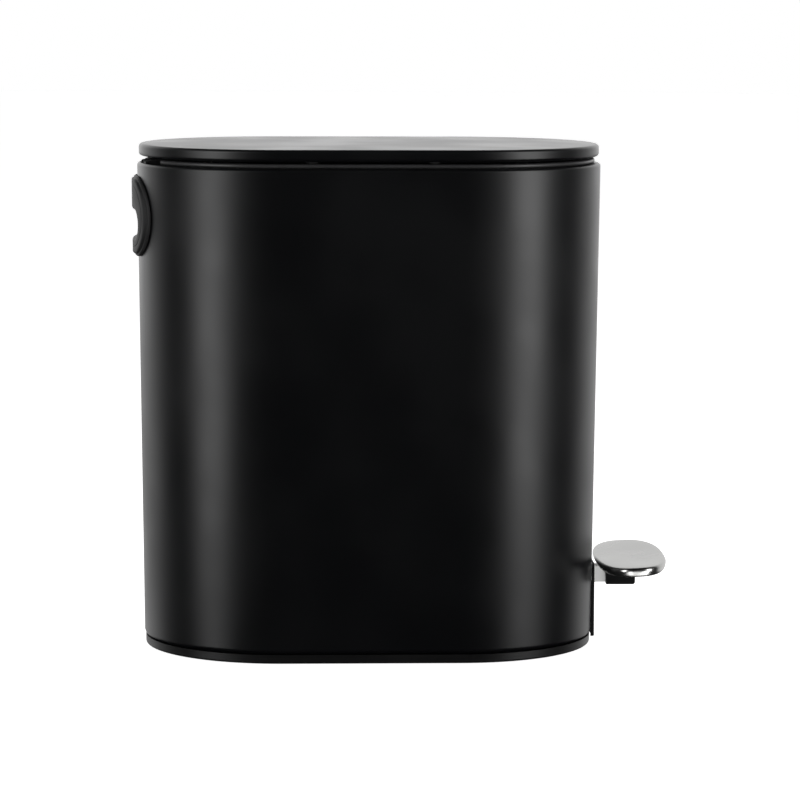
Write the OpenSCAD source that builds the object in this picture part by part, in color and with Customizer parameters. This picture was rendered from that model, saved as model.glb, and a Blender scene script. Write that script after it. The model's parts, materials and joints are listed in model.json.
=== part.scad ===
// Oval pedal bin: a painted steel body on a moulded base, a steel lid on goose-neck arms, a lift-out bucket,
// and a pedal lever that raises the lid through a guided wire rod with a soft-close damper.
// +Z is up, -Y is the front (the pedal side), and the origin is on the floor under the middle of the oval body.

/* [Body] */
// Length of the body over its lower edge, front to back
body_l = 264; // [240:1:316]
// Width of the body over its lower edge
body_w = 160; // [146:1:190]
// Height of the steel body by itself
body_h = 278; // [240:1:340]
// How much wider the top edge is than the lower edge, on each side
flare = 3.5; // [1:0.5:6]
// Thickness of the steel sheet
sheet = 0.8; // [0.6:0.1:1.2]
// Outer radius of the rolled top edge
top_edge_r = 1.8; // [1.4:0.1:2.4]
// Width of the flange that the top edge turns in to
hem_w = 6; // [5:0.5:6.5]
// Outer radius of the lower edge
low_edge_r = 3; // [2:0.5:4]

/* [Base] */
// Height of the base ring that shows under the body
ring_h = 5.2; // [4:0.2:8]
// How far the base ring stands back from the body
ring_inset = 0.7; // [0.5:0.1:2.5]
// Seam between the base ring and the body
seam = 0.2; // [0.1:0.1:0.5]
// Thickness of the moulded floor of the base
floor_t = 2.4; // [2:0.2:3]
// Height of the wall that locates the body, above the base ring
spigot_h = 13; // [8:1:16]
// Thickness of the spigot wall
spigot_t = 2; // [1.5:0.5:3]
// Diameter of each rubber foot
foot_d = 16; // [10:1:20]
// Thickness of each rubber foot
foot_t = 1.6; // [1.2:0.2:2]
// How far the feet stand proud of the base
foot_out = 0.6; // [0.4:0.1:0.8]

/* [Lid] */
// Gap between the body's top edge and the lid
lid_gap = 4; // [4:0.5:6]
// Thickness of the whole lid
lid_t = 7; // [7:0.5:10]
// How far the lid stands back from the body's top edge
lid_inset = 1; // [0.5:0.25:1.5]
// Radius of the lid's rounded edge
lid_edge_r = 2; // [1.5:0.5:3.5]
// Width of the lid sheet's flange underneath
lid_hem_w = 5; // [4:0.5:5.5]
// Thickness of the moulded inner lid
liner_t = 2; // [1.6:0.2:2.4]

/* [Hinge] */
// How far the hinge pin is in front of the body's rear edge
hinge_in = 9.5; // [9:0.5:10]
// How far the hinge pin is below the lid
hinge_drop = 16; // [16:0.5:18]
// Opening angle of the lid
open_angle = 75; // [60:1:75]
// Distance of each hinge arm from the middle
arm_x = 16; // [15:0.5:17]
// Thickness of each hinge arm and of the lift lug
arm_t = 3; // [2:0.5:3]
// Diameter of the hinge pin
hinge_pin_d = 5; // [4:0.5:6]
// Half the width of the hinge block
block_x = 24; // [22.5:0.5:25]

/* [Bucket] */
// Clearance between the bucket wall and the hem around it
bucket_gap = 1; // [0.6:0.2:2]
// Thickness of the bucket wall
bucket_t = 1.5; // [1.2:0.1:2.5]
// Draft of the bucket wall over its height, beyond the body's own taper
bucket_draft = 2; // [1:0.5:4]
// Thickness of the bucket's rim
rim_t = 2.7; // [2:0.1:3]
// How far the rim stands back from the body's top edge
rim_inset = 3.4; // [3:0.1:4]
// Half the width of the recess at the back of the bucket
recess_x = 37; // [37:0.5:40]

/* [Handle] */
// Width of the carry handle
handle_w = 75; // [66:1:80]
// Height of the carry handle
handle_h = 46.6; // [45:0.2:52]
// Height of the handle's middle above the floor
handle_z = 253; // [249:0.5:254]
// How far the finger pocket's middle is below the handle's middle
pocket_drop = 4.4; // [2:0.2:5]
// How far the handle's rim stands out from the body
handle_rim = 2; // [1.5:0.1:2.5]
// How far the handle's face stands out from the body
handle_face = 3.5; // [2.8:0.1:4]
// Width of the flat rim around the handle's face
handle_border = 1.5; // [1:0.5:6]
// Width of the finger pocket
pocket_w = 48; // [44:1:52]
// Height of the finger pocket
pocket_h = 16.5; // [15:0.5:18]
// Depth of the finger pocket from the body's surface
pocket_depth = 15; // [12:1:16]

/* [Pedal] */
// Length of the pedal pad, front to back
pad_l = 41; // [36:1:50]
// Width of the pedal pad
pad_w = 112; // [90:1:120]
// Height of the middle of the pedal pad
pad_z = 52; // [51:0.5:56]
// Upward tilt of the pad to the front, in degrees
pad_tilt = 3; // [0:0.5:5]
// Depth of the pad's turned-down skirt
skirt_h = 5.5; // [3.5:0.5:6]
// Thickness of the pad's sheet
pad_sheet = 1.2; // [1:0.1:1.5]
// Clearance between the lever and the notch for it in the pad's skirt
notch_gap = 0.6; // [0.4:0.1:1]
// Gap between the pad and the slot cover
pad_gap = 0.7; // [0.2:0.1:1.2]
// How far the block under the pad is behind the pad's middle
block_back = 6; // [0:0.5:6.5]
// Top of the lever where it leaves the body
lever_z = 45.2; // [44:0.2:46]
// Height of the lever's section
lever_h = 9.6; // [8:0.2:10]
// Width of the lever's channel section
lever_w = 10; // [9:0.5:11]
// Thickness of the lever's sheet
lever_sheet = 1.2; // [1:0.1:1.5]
// Height of the lever's pivot
pivot_z = 24; // [23:0.5:26]
// How far the lever's pivot is in front of the middle
pivot_back = 15; // [10:1:18]
// Diameter of the lever's pivot pin
pivot_pin_d = 5; // [4:0.5:6]

/* [Slot cover] */
// Width of the slot cover
cover_w = 24; // [20:1:30]
// How far the slot cover stands out from the body's lower edge
cover_out = 1.5; // [1.4:0.1:3.2]
// Lower end of the slot cover
cover_low = 4.2; // [2:0.2:4.8]
// Top end of the slot cover
cover_top = 48; // [48:0.5:50]
// Clearance between the lever and each side of its slot
slot_gap = 1.5; // [1.2:0.1:2.5]

/* [Lift rod] */
// Diameter of the wire rod
rod_d = 4; // [3:0.2:4.8]
// Distance of the rod's upright run from the middle
rod_x = 12; // [11.5:0.5:13]
// Distance of the rod in front of the hinge pin
rod_reach = 18.9; // [18.5:0.1:20]
// Travel of the rod as the lid opens
rod_rise = 27.5; // [25:0.5:28]

/* [Damper] */
// Outer diameter of the damper's cylinder
damper_d = 13; // [12:0.5:14]
// Bore of the damper's cylinder
damper_bore = 11; // [9:0.5:11]
// Length of the damper's cylinder
damper_l = 68; // [60:1:80]

/* [Fits] */
// Radial clearance of a pin that turns in its hole
running_fit = 0.05; // [0.02:0.01:0.1]
// Gap left between pieces that only meet
touch = 0.2; // [0.1:0.05:0.3]

/* [Hidden] */
$fn = 96;

cut = 1;                                      // how far a cutting solid runs past what it cuts
straight = body_l - body_w;                   // straight part of the oval's long sides
shell_z = foot_out + ring_h + seam;           // lower edge of the steel body
top_z = shell_z + body_h;                     // top edge of the steel body
top_r = body_w / 2 + flare;                   // end radius of the body at its top edge
back_y = straight / 2 + top_r;                // rear of the body at its top edge
front_y = -straight / 2 - body_w / 2;         // front of the body at its lower edge
lid_z = top_z + lid_gap;                      // underside of the lid
lid_r = top_r - lid_inset;
pocket_z = handle_z - pocket_drop;             // middle of the finger pocket
floor_z = foot_out + floor_t;                 // top of the base's floor
spigot_r = body_w / 2 - low_edge_r - sheet - 2 * touch;
spigot_z = shell_z + spigot_h;

axis_y = back_y - hinge_in;                   // hinge pin
axis_z = lid_z - hinge_drop;
pin_r = hinge_pin_d / 2;
arm_neck = 3.5;                               // half the height of an arm's neck
arm_front = 23;                               // front of an arm, ahead of the pin
arm_rear = 16;                                // rear of an arm's upright part, ahead of the pin
boss_r = pin_r + 2.5;
plate_t = 1.6;                                // plate that joins the two arms, on top of the inner lid
plate_x = 22;
plate_front = 44;
liner_z = lid_z + 0.4;                        // underside of the inner lid, flush within the sheet's flange
liner_top = lid_z + sheet + touch + liner_t;
bumper_d = 7;                                 // rubber pads under the lid
block_front = 5;                              // front of the hinge block, ahead of the pin
block_low = 8;                                // depth of the block's foot under the pin
block_foot = 5;

rod_r = rod_d / 2;
rod_y = axis_y - rod_reach;
rod_top_z = axis_z - rod_rise / 2;
rod_foot_z = pivot_z - rod_rise / 2;
bend_r = rod_r + 1;                           // centre-line radius of the rod's bends
hook_low_x = -lever_w / 2 - 3.5;              // free end of the rod's lower hook
hook_top_x = -arm_t / 2 - 3.5;                // free end of the rod's upper hook
swing = open_angle / 2;
slot_near = rod_reach - 0.3;                  // ends of the lug's slot, from the hinge pin
slot_far = rod_reach * cos(swing) + rod_rise / 2 * sin(swing) + 0.3;
slot_r = rod_r + 0.85;                        // half the width of the lug's slot
lug_r = slot_r + 2.8;
clip_r = rod_r + 2.5;
clip_t = 1.2;

pivot_y = -pivot_back;
press_angle = 2 * atan(rod_rise / 2 / (rod_y - pivot_y));
lever_w_in = lever_w - 2 * lever_sheet;
pad_y = front_y - cover_out - pad_gap - pad_l / 2;   // middle of the pad
block_y = pad_y + block_back;                 // middle of the black block that joins pad and lever
block_l = 18;
block_w = 20;
pad_block_low = 34.9;
lever_front = block_y - block_l / 2 + 1.5;
lever_bend = front_y + 8;                     // where the lever starts to slope down
lever_end_r = 5.5;
lever_boss_r = 8;
plinth_z = floor_z + 5;                       // top of the base's plinth under the pivot bracket
bracket_t = 1.5;
ear_x = lever_w / 2 + 0.5;                    // inner face of each bracket ear
bracket_x = 22;
bracket_y = 12;

cover_y = front_y - cover_out;                // front face of the slot cover
slot_w = lever_w + 2 * slot_gap;              // slot in the body and the cover for the lever
slot_low = shell_z + 1;
slot_top = lever_z + 1.8;

bucket_r = top_r - hem_w - bucket_gap;        // outer end radius of the bucket wall under its rim
bucket_low_r = bucket_r - flare - bucket_draft;
bucket_low = lever_z + 5;                     // underside of the bucket
bucket_back = rod_y - 13.6;                   // outer face of the recess at the back of the bucket
rim_z = top_z + touch;
rim_r = top_r - rim_inset;
rim_out = 3;                                  // width of the rim around the recess

damper_low = pivot_z + rod_rise / 2 + lever_end_r + 5;   // lower end of the damper's cylinder
piston_z = damper_low + 9;
piston_h = 6;
eye_r = rod_r + 2.6;

// Body radius at a height, measured from the end centres of the oval
function body_r(z) = body_w / 2 + flare * (z - shell_z) / body_h;
// Points along an arc about c
function arc(c, r, from, to, n = 6) =
  [for (i = [0:n]) let (a = from + (to - from) * i / n) c + r * [cos(a), sin(a)]];
// Points along an oval that is a little squarer than an ellipse
function soft_oval(a, b, power = 2.35, n = 56) =
  [for (i = [0:n - 1]) let (t = 360 * i / n)
    [a * sign(cos(t)) * pow(abs(cos(t)), 2 / power), b * sign(sin(t)) * pow(abs(sin(t)), 2 / power)]];

// Carries a profile round the oval plan: x is the distance out from the line between the end centres, y the height
module oval_sweep() {
  for (turn = [0, 180])
    rotate([0, 0, turn]) {
      translate([0, straight / 2, 0]) rotate_extrude(angle = 180) children();
      rotate([90, 0, 0]) linear_extrude(straight, center = true) children();
    }
}

// Solid that stands inside or outside the body's tapered side by a given amount
module body_form(out, low, high) {
  oval_sweep() polygon([[0, low], [body_r(low) + out, low], [body_r(high) + out, high], [0, high]]);
}

// Flat bar with round ends, lying across the bin: w wide, h high, from y = near to y = far
module round_bar(w, h, near, far) {
  translate([0, far, 0]) rotate([90, 0, 0]) linear_extrude(far - near) {
    square([w - h, h], center = true);
    for (s = [-1, 1]) translate([s * (w - h) / 2, 0]) circle(d = h);
  }
}

// Extrudes a side outline (x = along the bin, y = height) to a width, about the middle
module side_plate(w) {
  rotate([90, 0, 90]) linear_extrude(w, center = true) children();
}

module pin_x(r, from, to) {
  translate([from, 0, 0]) rotate([0, 90, 0]) cylinder(r = r, h = to - from);
}

module box(low, high) {
  translate(low) cube(high - low);
}

module shell_profile() {
  low_c = [body_w / 2 - low_edge_r, shell_z + low_edge_r];
  top_c = [top_r - top_edge_r, top_z - top_edge_r];
  low_end = low_c.x - sheet;
  polygon(concat(
    [[low_end, shell_z]], arc(low_c, low_edge_r, -90, 0),
    arc(top_c, top_edge_r, 0, 90), [[top_r - hem_w, top_z], [top_r - hem_w, top_z - sheet]],
    arc(top_c, top_edge_r - sheet, 90, 0),
    arc(low_c, low_edge_r - sheet, 0, -90), [[low_end, shell_z + sheet]]));
}

module body_shell() {
  color("#1c1d1f") difference() {
    oval_sweep() shell_profile();
    box([-slot_w / 2, front_y - flare, slot_low], [slot_w / 2, front_y + low_edge_r + 2 * cut, slot_top]);
    translate([0, 0, pocket_z]) round_bar(pocket_w + 4, pocket_h + 4, back_y - 25, back_y + cut);
    handle_screw_places() pin_y(1.6, -6, 0);
    intersection() {
      oval_sweep() square_at(0, top_z - sheet - cut, top_r - top_edge_r, top_z + cut);
      box([-recess_x, straight / 2, 0], [recess_x, back_y, top_z + cut]);
    }
  }
}

module square_at(x0, y0, x1, y1) {
  translate([x0, y0]) square([x1 - x0, y1 - y0]);
}

module tray_profile() {
  ring_r = body_w / 2 - ring_inset;
  ring_top = shell_z - seam;
  polygon(concat(
    [[0, foot_out]], arc([ring_r - 1.2, foot_out + 1.2], 1.2, -90, 0, 4), [[ring_r, ring_top]],
    [[spigot_r, ring_top], [spigot_r, spigot_z], [spigot_r - spigot_t, spigot_z]],
    [[spigot_r - spigot_t, floor_z], [0, floor_z]]));
}

module base_tray() {
  color("#242527") difference() {
    union() {
      oval_sweep() tray_profile();
      box([-bracket_x - 2, pivot_y - bracket_y - 2, floor_z], [bracket_x + 2, pivot_y + bracket_y + 2, plinth_z]);
      bumper_place() cylinder(d = 18, h = 3);
    }
    box([-slot_w / 2, front_y, slot_low], [slot_w / 2, front_y / 2, spigot_z + cut]);
    foot_places() translate([0, 0, foot_out - cut]) cylinder(d = foot_d + 0.2, h = foot_t - foot_out + cut);
    bracket_screw_places() translate([0, 0, -4.5]) cylinder(d = 3.2, h = 5);
  }
}

module foot_places() {
  for (x = [-1, 1], y = [-1, 1]) translate([x * (body_w / 2 - 31), y * (straight / 2 + 26), 0]) children();
  children();
}

module rubber_feet() {
  color("#101010") foot_places() cylinder(d = foot_d, h = foot_t);
}

module bumper_place() {
  translate([0, pivot_y - 62, floor_z]) children();
}

// Rubber pad that stops the lever when the pedal is pressed
module pedal_bumper() {
  color("#151515") bumper_place() translate([0, 0, 3]) cylinder(d = 14, h = 3);
}

module bucket_form(gap) {
  low = bucket_low + gap;
  side = gap > 0 ? top_z + cut + rim_t : rim_z + rim_t / 2;
  grow = (bucket_r - bucket_low_r) * (side - bucket_low) / (rim_z - bucket_low);
  difference() {
    oval_sweep() polygon([[0, low], [bucket_low_r - gap, low], [bucket_low_r + grow - gap, side], [0, side]]);
    box([-recess_x - gap, bucket_back - gap, 0], [recess_x + gap, back_y + cut, top_z + 10]);
  }
}

module inner_bucket() {
  bead = rim_t / 2;
  color("#2b2c2e") difference() {
    union() {
      bucket_form(0);
      difference() {
        oval_sweep() {
          square_at(0, rim_z, rim_r - bead, rim_z + rim_t);
          translate([rim_r - bead, rim_z + bead]) circle(r = bead);
        }
        box([-recess_x + rim_out, bucket_back + rim_out, rim_z - cut], [recess_x - rim_out, back_y, top_z + 10]);
        box([-recess_x - 2 * rim_out, axis_y - 5, rim_z - cut], [recess_x + 2 * rim_out, back_y, top_z + 10]);
      }
    }
    bucket_form(bucket_t);
  }
}

module slot_cover() {
  color("#161718") {
    difference() {
      round_cover(cover_w, cover_low, cover_top, cover_y, front_y + 6);
      body_form(touch, 0, cover_top + cut);
      box([-slot_w / 2, cover_y - cut, slot_low - 0.5], [slot_w / 2, front_y + 7, slot_top]);
    }
    for (s = [-1, 1]) translate([s * (slot_w / 2 - 0.3), 0, 0]) {
      box([-0.3, front_y - 1.2, slot_low + 4], [0.3, front_y + 2.5, slot_low + 14]);
      box([-0.3, front_y - 1.2, slot_top - 14], [0.3, front_y + 2.5, slot_top - 4]);
    }
  }
}

// Upright plate with rounded top corners, from the lower end to the top end
module round_cover(w, low, high, near, far) {
  r = 4;
  translate([0, far, 0]) rotate([90, 0, 0]) linear_extrude(far - near) {
    square_at(-w / 2, low, w / 2, high - r);
    square_at(-w / 2 + r, low, w / 2 - r, high);
    for (x = [-w / 2 + r, w / 2 - r]) translate([x, high - r]) circle(r = r);
  }
}

module rear_handle() {
  face_w = handle_w - 2 * handle_border;
  face_h = handle_h - 2 * handle_border;
  low = handle_z - handle_h;
  high = handle_z + handle_h / 2 + cut;
  color("#2d2e30") difference() {
    union() {
      difference() {
        union() {
          intersection() {
            translate([0, 0, handle_z]) round_bar(handle_w, handle_h, straight / 2, back_y + 10);
            body_form(handle_rim, low, high);
          }
          intersection() {
            translate([0, 0, handle_z]) round_bar(face_w, face_h, straight / 2, back_y + 10);
            body_form(handle_face, low, high);
          }
        }
        body_form(touch / 2, low - cut, high + cut);
      }
      intersection() {
        translate([0, 0, pocket_z]) round_bar(pocket_w + 3, pocket_h + 3, back_y - pocket_depth - 1.5, back_y + 10);
        body_form(handle_rim / 2, low, high);
      }
    }
    translate([0, 0, pocket_z]) round_bar(pocket_w, pocket_h, back_y - pocket_depth, back_y + 11);
    handle_screw_places() pin_y(1.5, -4, 0);
  }
}

module pin_y(r, from, to) {
  translate([0, from, 0]) rotate([-90, 0, 0]) cylinder(r = r, h = to - from);
}

// Places on the outer face of the body where the handle is screwed on from inside
module handle_screw_places() {
  x = pocket_w / 2 + 6;
  y = straight / 2 + sqrt(pow(body_r(handle_z) + handle_rim - 0.4, 2) - x * x);
  for (s = [-1, 1]) translate([s * x, y, handle_z]) children();
}

module handle_screws() {
  color("#9a9ca0") handle_screw_places() {
    pin_y(1.45, -5, -0.2);
    pin_y(3, -6.4, -5);
  }
}

module block_side() {
  top = lid_z - 2;
  polygon([
    [axis_y - block_front, axis_z - block_low], [axis_y - block_front, top - 0.2], [axis_y, top],
    [back_y, top_z + 0.2], [back_y, axis_z - block_low]]);
}

// Moulded block that holds the hinge pin, with gaps for the two arms and the lug
module hinge_block() {
  gap = arm_t / 2 + 1.5;
  ear_w = block_x - arm_x - gap;
  foot_top = axis_z - block_low + 0.5;
  color("#202123") difference() {
    union() {
      intersection() {
        for (s = [-1, 1], x = [arm_x - gap - ear_w / 2, arm_x + gap + ear_w / 2])
          translate([s * x, 0, 0]) side_plate(ear_w) block_side();
        body_form(-top_edge_r - touch, axis_z - 30, top_z + 6);
      }
      intersection() {
        box([-block_x, axis_y - block_front, foot_top - block_foot], [block_x, back_y, foot_top]);
        body_form(-sheet - touch / 2, axis_z - 30, top_z);
      }
    }
    translate([0, axis_y, axis_z]) pin_x(pin_r, -block_x - cut, block_x + cut);
  }
}

module hinge_pin() {
  color("#b9bcc0") translate([0, axis_y, axis_z]) pin_x(pin_r, -block_x + 1.5, block_x - 1.5);
}

module lid_profile() {
  low_c = [lid_r - lid_edge_r, lid_z + lid_edge_r];
  top_c = [lid_r - lid_edge_r, lid_z + lid_t - lid_edge_r];
  inner_r = lid_edge_r - sheet;
  end_x = lid_r - lid_hem_w;
  polygon(concat(
    [[end_x, lid_z]], arc(low_c, lid_edge_r, -90, 0), arc(top_c, lid_edge_r, 0, 90),
    [[0, lid_z + lid_t], [0, lid_z + lid_t - sheet]],
    arc(top_c, inner_r, 90, 0), arc(low_c, inner_r, 0, -90), [[end_x, lid_z + sheet]]));
}

module lid_shell() {
  color("#1c1d1f") oval_sweep() lid_profile();
}

module lid_liner() {
  flush_r = lid_r - lid_hem_w - touch;
  ledge_r = lid_r - sheet - 2;
  ledge_z = lid_z + sheet + touch;
  slot_x = arm_t + 2 * touch;
  color("#2b2c2e") difference() {
    oval_sweep() polygon([
      [0, liner_z], [flush_r, liner_z], [flush_r, ledge_z], [ledge_r, ledge_z], [ledge_r, liner_top], [0, liner_top]]);
    for (x = [-arm_x, 0, arm_x])
      box([x - slot_x / 2, axis_y - arm_front - 4, liner_z - cut], [x + slot_x / 2, axis_y - arm_rear + 1, liner_top + cut]);
    lid_screw_places() translate([0, 0, liner_z - cut]) cylinder(d = 3.4, h = 2 * liner_t + cut);
    lid_screw_places() translate([0, 0, liner_z - cut]) cylinder(d = 6.6, h = 1 + cut);
  }
}

module lid_screw_places() {
  for (x = [-1, 1], y = [6, 16]) translate([x * (arm_x / 2 + 0.5), axis_y - plate_front + y, 0]) children();
}

module lid_screws() {
  color("#a5a7ab") lid_screw_places() {
    translate([0, 0, liner_z]) cylinder(d = 6.2, h = 1);
    translate([0, 0, liner_z + 1]) cylinder(d = 3, h = liner_top + plate_t - liner_z - 1);
  }
}

// Side outline of a goose-neck arm: from the plate in the lid, down, and back to the pin
module arm_side() {
  difference() {
    union() {
      translate([axis_y, axis_z]) circle(r = boss_r);
      square_at(axis_y - arm_rear - 2, axis_z - arm_neck, axis_y, axis_z + arm_neck);
      square_at(axis_y - arm_front, axis_z + arm_neck, axis_y - arm_rear, liner_top + plate_t);
      translate([axis_y - arm_front + 2 * arm_neck, axis_z + arm_neck]) circle(r = 2 * arm_neck);
    }
    translate([axis_y, axis_z]) circle(r = pin_r + running_fit);
  }
}

module lug_side() {
  reach = slot_far - slot_near;
  difference() {
    union() {
      slot_shape(lug_r, reach);
      square_at(axis_y - arm_front - 2, axis_z - 8, axis_y - arm_rear - 0.5, liner_top + plate_t);
    }
    slot_shape(slot_r, reach);
  }
}

// Round-ended slot that points away from the hinge pin, below and in front of it
module slot_shape(r, reach) {
  translate([axis_y, axis_z]) rotate(180 + swing) translate([slot_near, 0]) {
    circle(r = r);
    translate([reach, 0]) circle(r = r);
    translate([0, -r]) square([reach, 2 * r]);
  }
}

module hinge_arms() {
  color("#8d9094") {
    for (x = [-arm_x, arm_x]) translate([x, 0, 0]) side_plate(arm_t) arm_side();
    side_plate(arm_t) lug_side();
    difference() {
      box([-plate_x, axis_y - plate_front, liner_top], [plate_x, axis_y - arm_rear, liner_top + plate_t]);
      lid_screw_places() translate([0, 0, liner_top - cut]) cylinder(d = 3, h = plate_t + 2 * cut);
    }
  }
}

module lid_bumpers() {
  low = rim_z + rim_t + touch;
  x = lid_r - lid_hem_w - touch - bumper_d / 2 - 0.1;
  color("#151515") for (s = [-1, 1], t = [-1, 1])
    translate([s * x, t * straight / 3, low]) cylinder(d = bumper_d, h = liner_z - low);
}

module pad_solid(inset, up) {
  hull() {
    slice(inset + 1, up);
    slice(inset, up - 1.4);
    slice(inset + 1.6, up - skirt_h);
  }
}

module slice(inset, z) {
  translate([0, 0, z - 0.01]) linear_extrude(0.01) polygon(soft_oval(pad_w / 2 - inset, pad_l / 2 - inset));
}

module pad_frame() {
  translate([0, pad_y, pad_z]) rotate([-pad_tilt, 0, 0]) children();
}

module pedal_pad() {
  color("#b9b8b4") pad_frame() difference() {
    pad_solid(0, 0);
    translate([0, 0, -pad_sheet]) pad_solid(pad_sheet, 0);
    lever_notch();
  }
}

// Room for the lever in the rear of the skirt, in the pad's own frame
module lever_notch() {
  half = lever_w / 2 + notch_gap;
  rotate([pad_tilt, 0, 0]) translate([0, -pad_y, -pad_z])
    box([-half, pad_y, lever_z - 20], [half, pad_y + pad_l, lever_z + notch_gap]);
}

module pedal_block() {
  top = pad_z - pad_sheet - touch;
  color("#0f0f10") difference() {
    intersection() {
      pad_frame() translate([0, block_back, -pad_sheet - 0.1 - 20])
        cube([block_w, block_l, 40], center = true);
      side_plate(block_w) block_side_outline(top + 2);
    }
    box([-lever_w / 2 - 0.1, lever_front - 0.2, 0], [lever_w / 2 + 0.1, block_y + block_l, lever_z + 0.1]);
    rivet_places() translate([0, 0, -20]) cylinder(d = 4, h = 40);
  }
}

module block_side_outline(top) {
  r = 1.5;
  front = block_y - block_l / 2;
  rear = block_y + block_l / 2;
  polygon(concat(
    [[front, top]], arc([front + r, pad_block_low + r], r, 180, 270, 4),
    arc([rear - r, pad_block_low + r], r, 270, 360, 4), [[rear, top]]));
}

module rivet_places() {
  for (y = [-4, 3.5]) translate([0, block_y + y, lever_z]) children();
}

module pedal_rivets() {
  color("#a5a7ab") rivet_places() {
    translate([0, 0, -lever_sheet]) cylinder(d = 4, h = pad_z - pad_sheet - lever_z + lever_sheet - 1.3);
    translate([0, 0, -lever_sheet - 1.5]) cylinder(d = 6.5, h = 1.5);
  }
}

// Outline of the lever over a width, with its pivot boss and its rounded rear end
module lever_form(w) {
  half = lever_h / 2;
  side_plate(w) polygon([
    [lever_front, lever_z], [lever_bend, lever_z], [pivot_y, pivot_z + half], [rod_y, rod_foot_z + lever_end_r],
    [rod_y, rod_foot_z - lever_end_r], [pivot_y, pivot_z - half], [lever_bend, lever_z - lever_h],
    [lever_front, lever_z - lever_h]]);
  translate([0, pivot_y, pivot_z]) pin_x(lever_boss_r, -w / 2, w / 2);
  translate([0, rod_y, rod_foot_z]) pin_x(lever_end_r, -w / 2, w / 2);
}

// Folded channel, open underneath, with its web cut away where the rod reaches in
module pedal_lever() {
  color("#c4c6c9") difference() {
    lever_form(lever_w);
    translate([0, 0, -lever_sheet]) lever_form(lever_w_in);
    box([-lever_w_in / 2, lever_front - cut, 0], [lever_w_in / 2, lever_front + cut, lever_z - lever_sheet]);
    box([-lever_w_in / 2, rod_y - 9, 0], [lever_w_in / 2, rod_y + 9, pivot_z + lever_boss_r]);
    translate([0, pivot_y, pivot_z]) pin_x(pivot_pin_d / 2 + running_fit, -lever_w, lever_w);
    translate([0, rod_y, rod_foot_z]) pin_x(rod_r + 0.8, -lever_w, lever_w);
    rivet_places() translate([0, 0, -lever_sheet - cut]) cylinder(d = 4, h = lever_sheet + 2 * cut);
  }
}

module ear_side() {
  foot = plinth_z + bracket_t;
  translate([pivot_y, pivot_z]) circle(r = 7);
  square_at(pivot_y - 7, foot - bracket_t, pivot_y + 7, pivot_z);
}

module pivot_bracket() {
  color("#8d9094") difference() {
    union() {
      for (s = [-1, 1]) translate([s * (ear_x + bracket_t / 2), 0, 0]) side_plate(bracket_t) ear_side();
      box([-bracket_x, pivot_y - bracket_y, plinth_z], [bracket_x, pivot_y + bracket_y, plinth_z + bracket_t]);
    }
    translate([0, pivot_y, pivot_z]) pin_x(pivot_pin_d / 2, -bracket_x, bracket_x);
    bracket_screw_places() translate([0, 0, -cut]) cylinder(d = 3.2, h = bracket_t + 2 * cut);
  }
}

module bracket_screw_places() {
  for (x = [-1, 1], y = [-1, 1]) translate([x * 16, pivot_y + y * 7.5, plinth_z]) children();
}

module bracket_screws() {
  color("#a5a7ab") bracket_screw_places() {
    translate([0, 0, -4]) cylinder(d = 3.1, h = 4 + bracket_t);
    translate([0, 0, bracket_t]) cylinder(d = 6.5, h = 2);
  }
}

module pivot_pin() {
  reach = ear_x + bracket_t + 2.4;
  color("#b9bcc0") translate([0, pivot_y, pivot_z]) pin_x(pivot_pin_d / 2, -reach, reach);
}

module washer_x(inner, outer, from, to) {
  difference() {
    pin_x(outer, from, to);
    pin_x(inner, from - cut, to + cut);
  }
}

module pivot_clips() {
  near = ear_x + bracket_t + 0.2;
  color("#77797c") translate([0, pivot_y, pivot_z])
    for (s = [0, 1]) mirror([s, 0, 0]) washer_x(pivot_pin_d / 2, pivot_pin_d / 2 + 2.2, near, near + clip_t);
}

module rod_bend() {
  rotate([90, 0, 0]) rotate_extrude(angle = 90) translate([bend_r, 0]) circle(r = rod_r);
}

// Wire rod, bent over at both ends into hooks that point across the bin
module lift_rod() {
  bend_x = rod_x - bend_r;
  color("#a9acb0") translate([0, rod_y, 0]) {
    translate([rod_x, 0, rod_foot_z + bend_r]) cylinder(r = rod_r, h = rod_top_z - rod_foot_z - 2 * bend_r);
    translate([bend_x, 0, rod_top_z - bend_r]) rod_bend();
    translate([bend_x, 0, rod_foot_z + bend_r]) mirror([0, 0, 1]) rod_bend();
    translate([0, 0, rod_top_z]) pin_x(rod_r, hook_top_x, bend_x);
    translate([0, 0, rod_foot_z]) pin_x(rod_r, hook_low_x, bend_x);
  }
}

module rod_clips() {
  color("#77797c") translate([0, rod_y, 0]) {
    translate([0, 0, rod_top_z]) washer_x(rod_r, clip_r, hook_top_x + 1.4, hook_top_x + 1.4 + clip_t);
    translate([0, 0, rod_foot_z]) washer_x(rod_r, clip_r, hook_low_x + 1.4, hook_low_x + 1.4 + clip_t);
  }
}

// Guides that keep the rod upright, fixed to the back of the body
module rod_guides() {
  color("#33353a") for (z = [damper_low + damper_l + 25, handle_z - handle_h / 2 - 25]) difference() {
    intersection() {
      box([rod_x - 5, rod_y - 5, z], [rod_x + 5, back_y, z + 9]);
      body_form(-sheet - touch / 2, z - cut, z + 10);
    }
    translate([rod_x, rod_y, z - cut]) cylinder(r = rod_r + running_fit, h = 9 + 2 * cut);
  }
}

module damper_bracket() {
  r = damper_d / 2;
  low = damper_low + damper_l / 2;
  color("#33353a") difference() {
    intersection() {
      box([-r - 2, rod_y - r - 1.5, low], [r + 2, back_y, low + 14]);
      body_form(-sheet - touch / 2, low - cut, low + 15);
    }
    translate([0, rod_y, low - cut]) cylinder(r = r, h = 14 + 2 * cut);
  }
}

module damper_cylinder() {
  color("#4a4c50") translate([0, rod_y, damper_low]) difference() {
    cylinder(d = damper_d, h = damper_l);
    translate([0, 0, -cut]) cylinder(d = damper_bore, h = damper_l - 3 + cut);
  }
}

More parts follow.
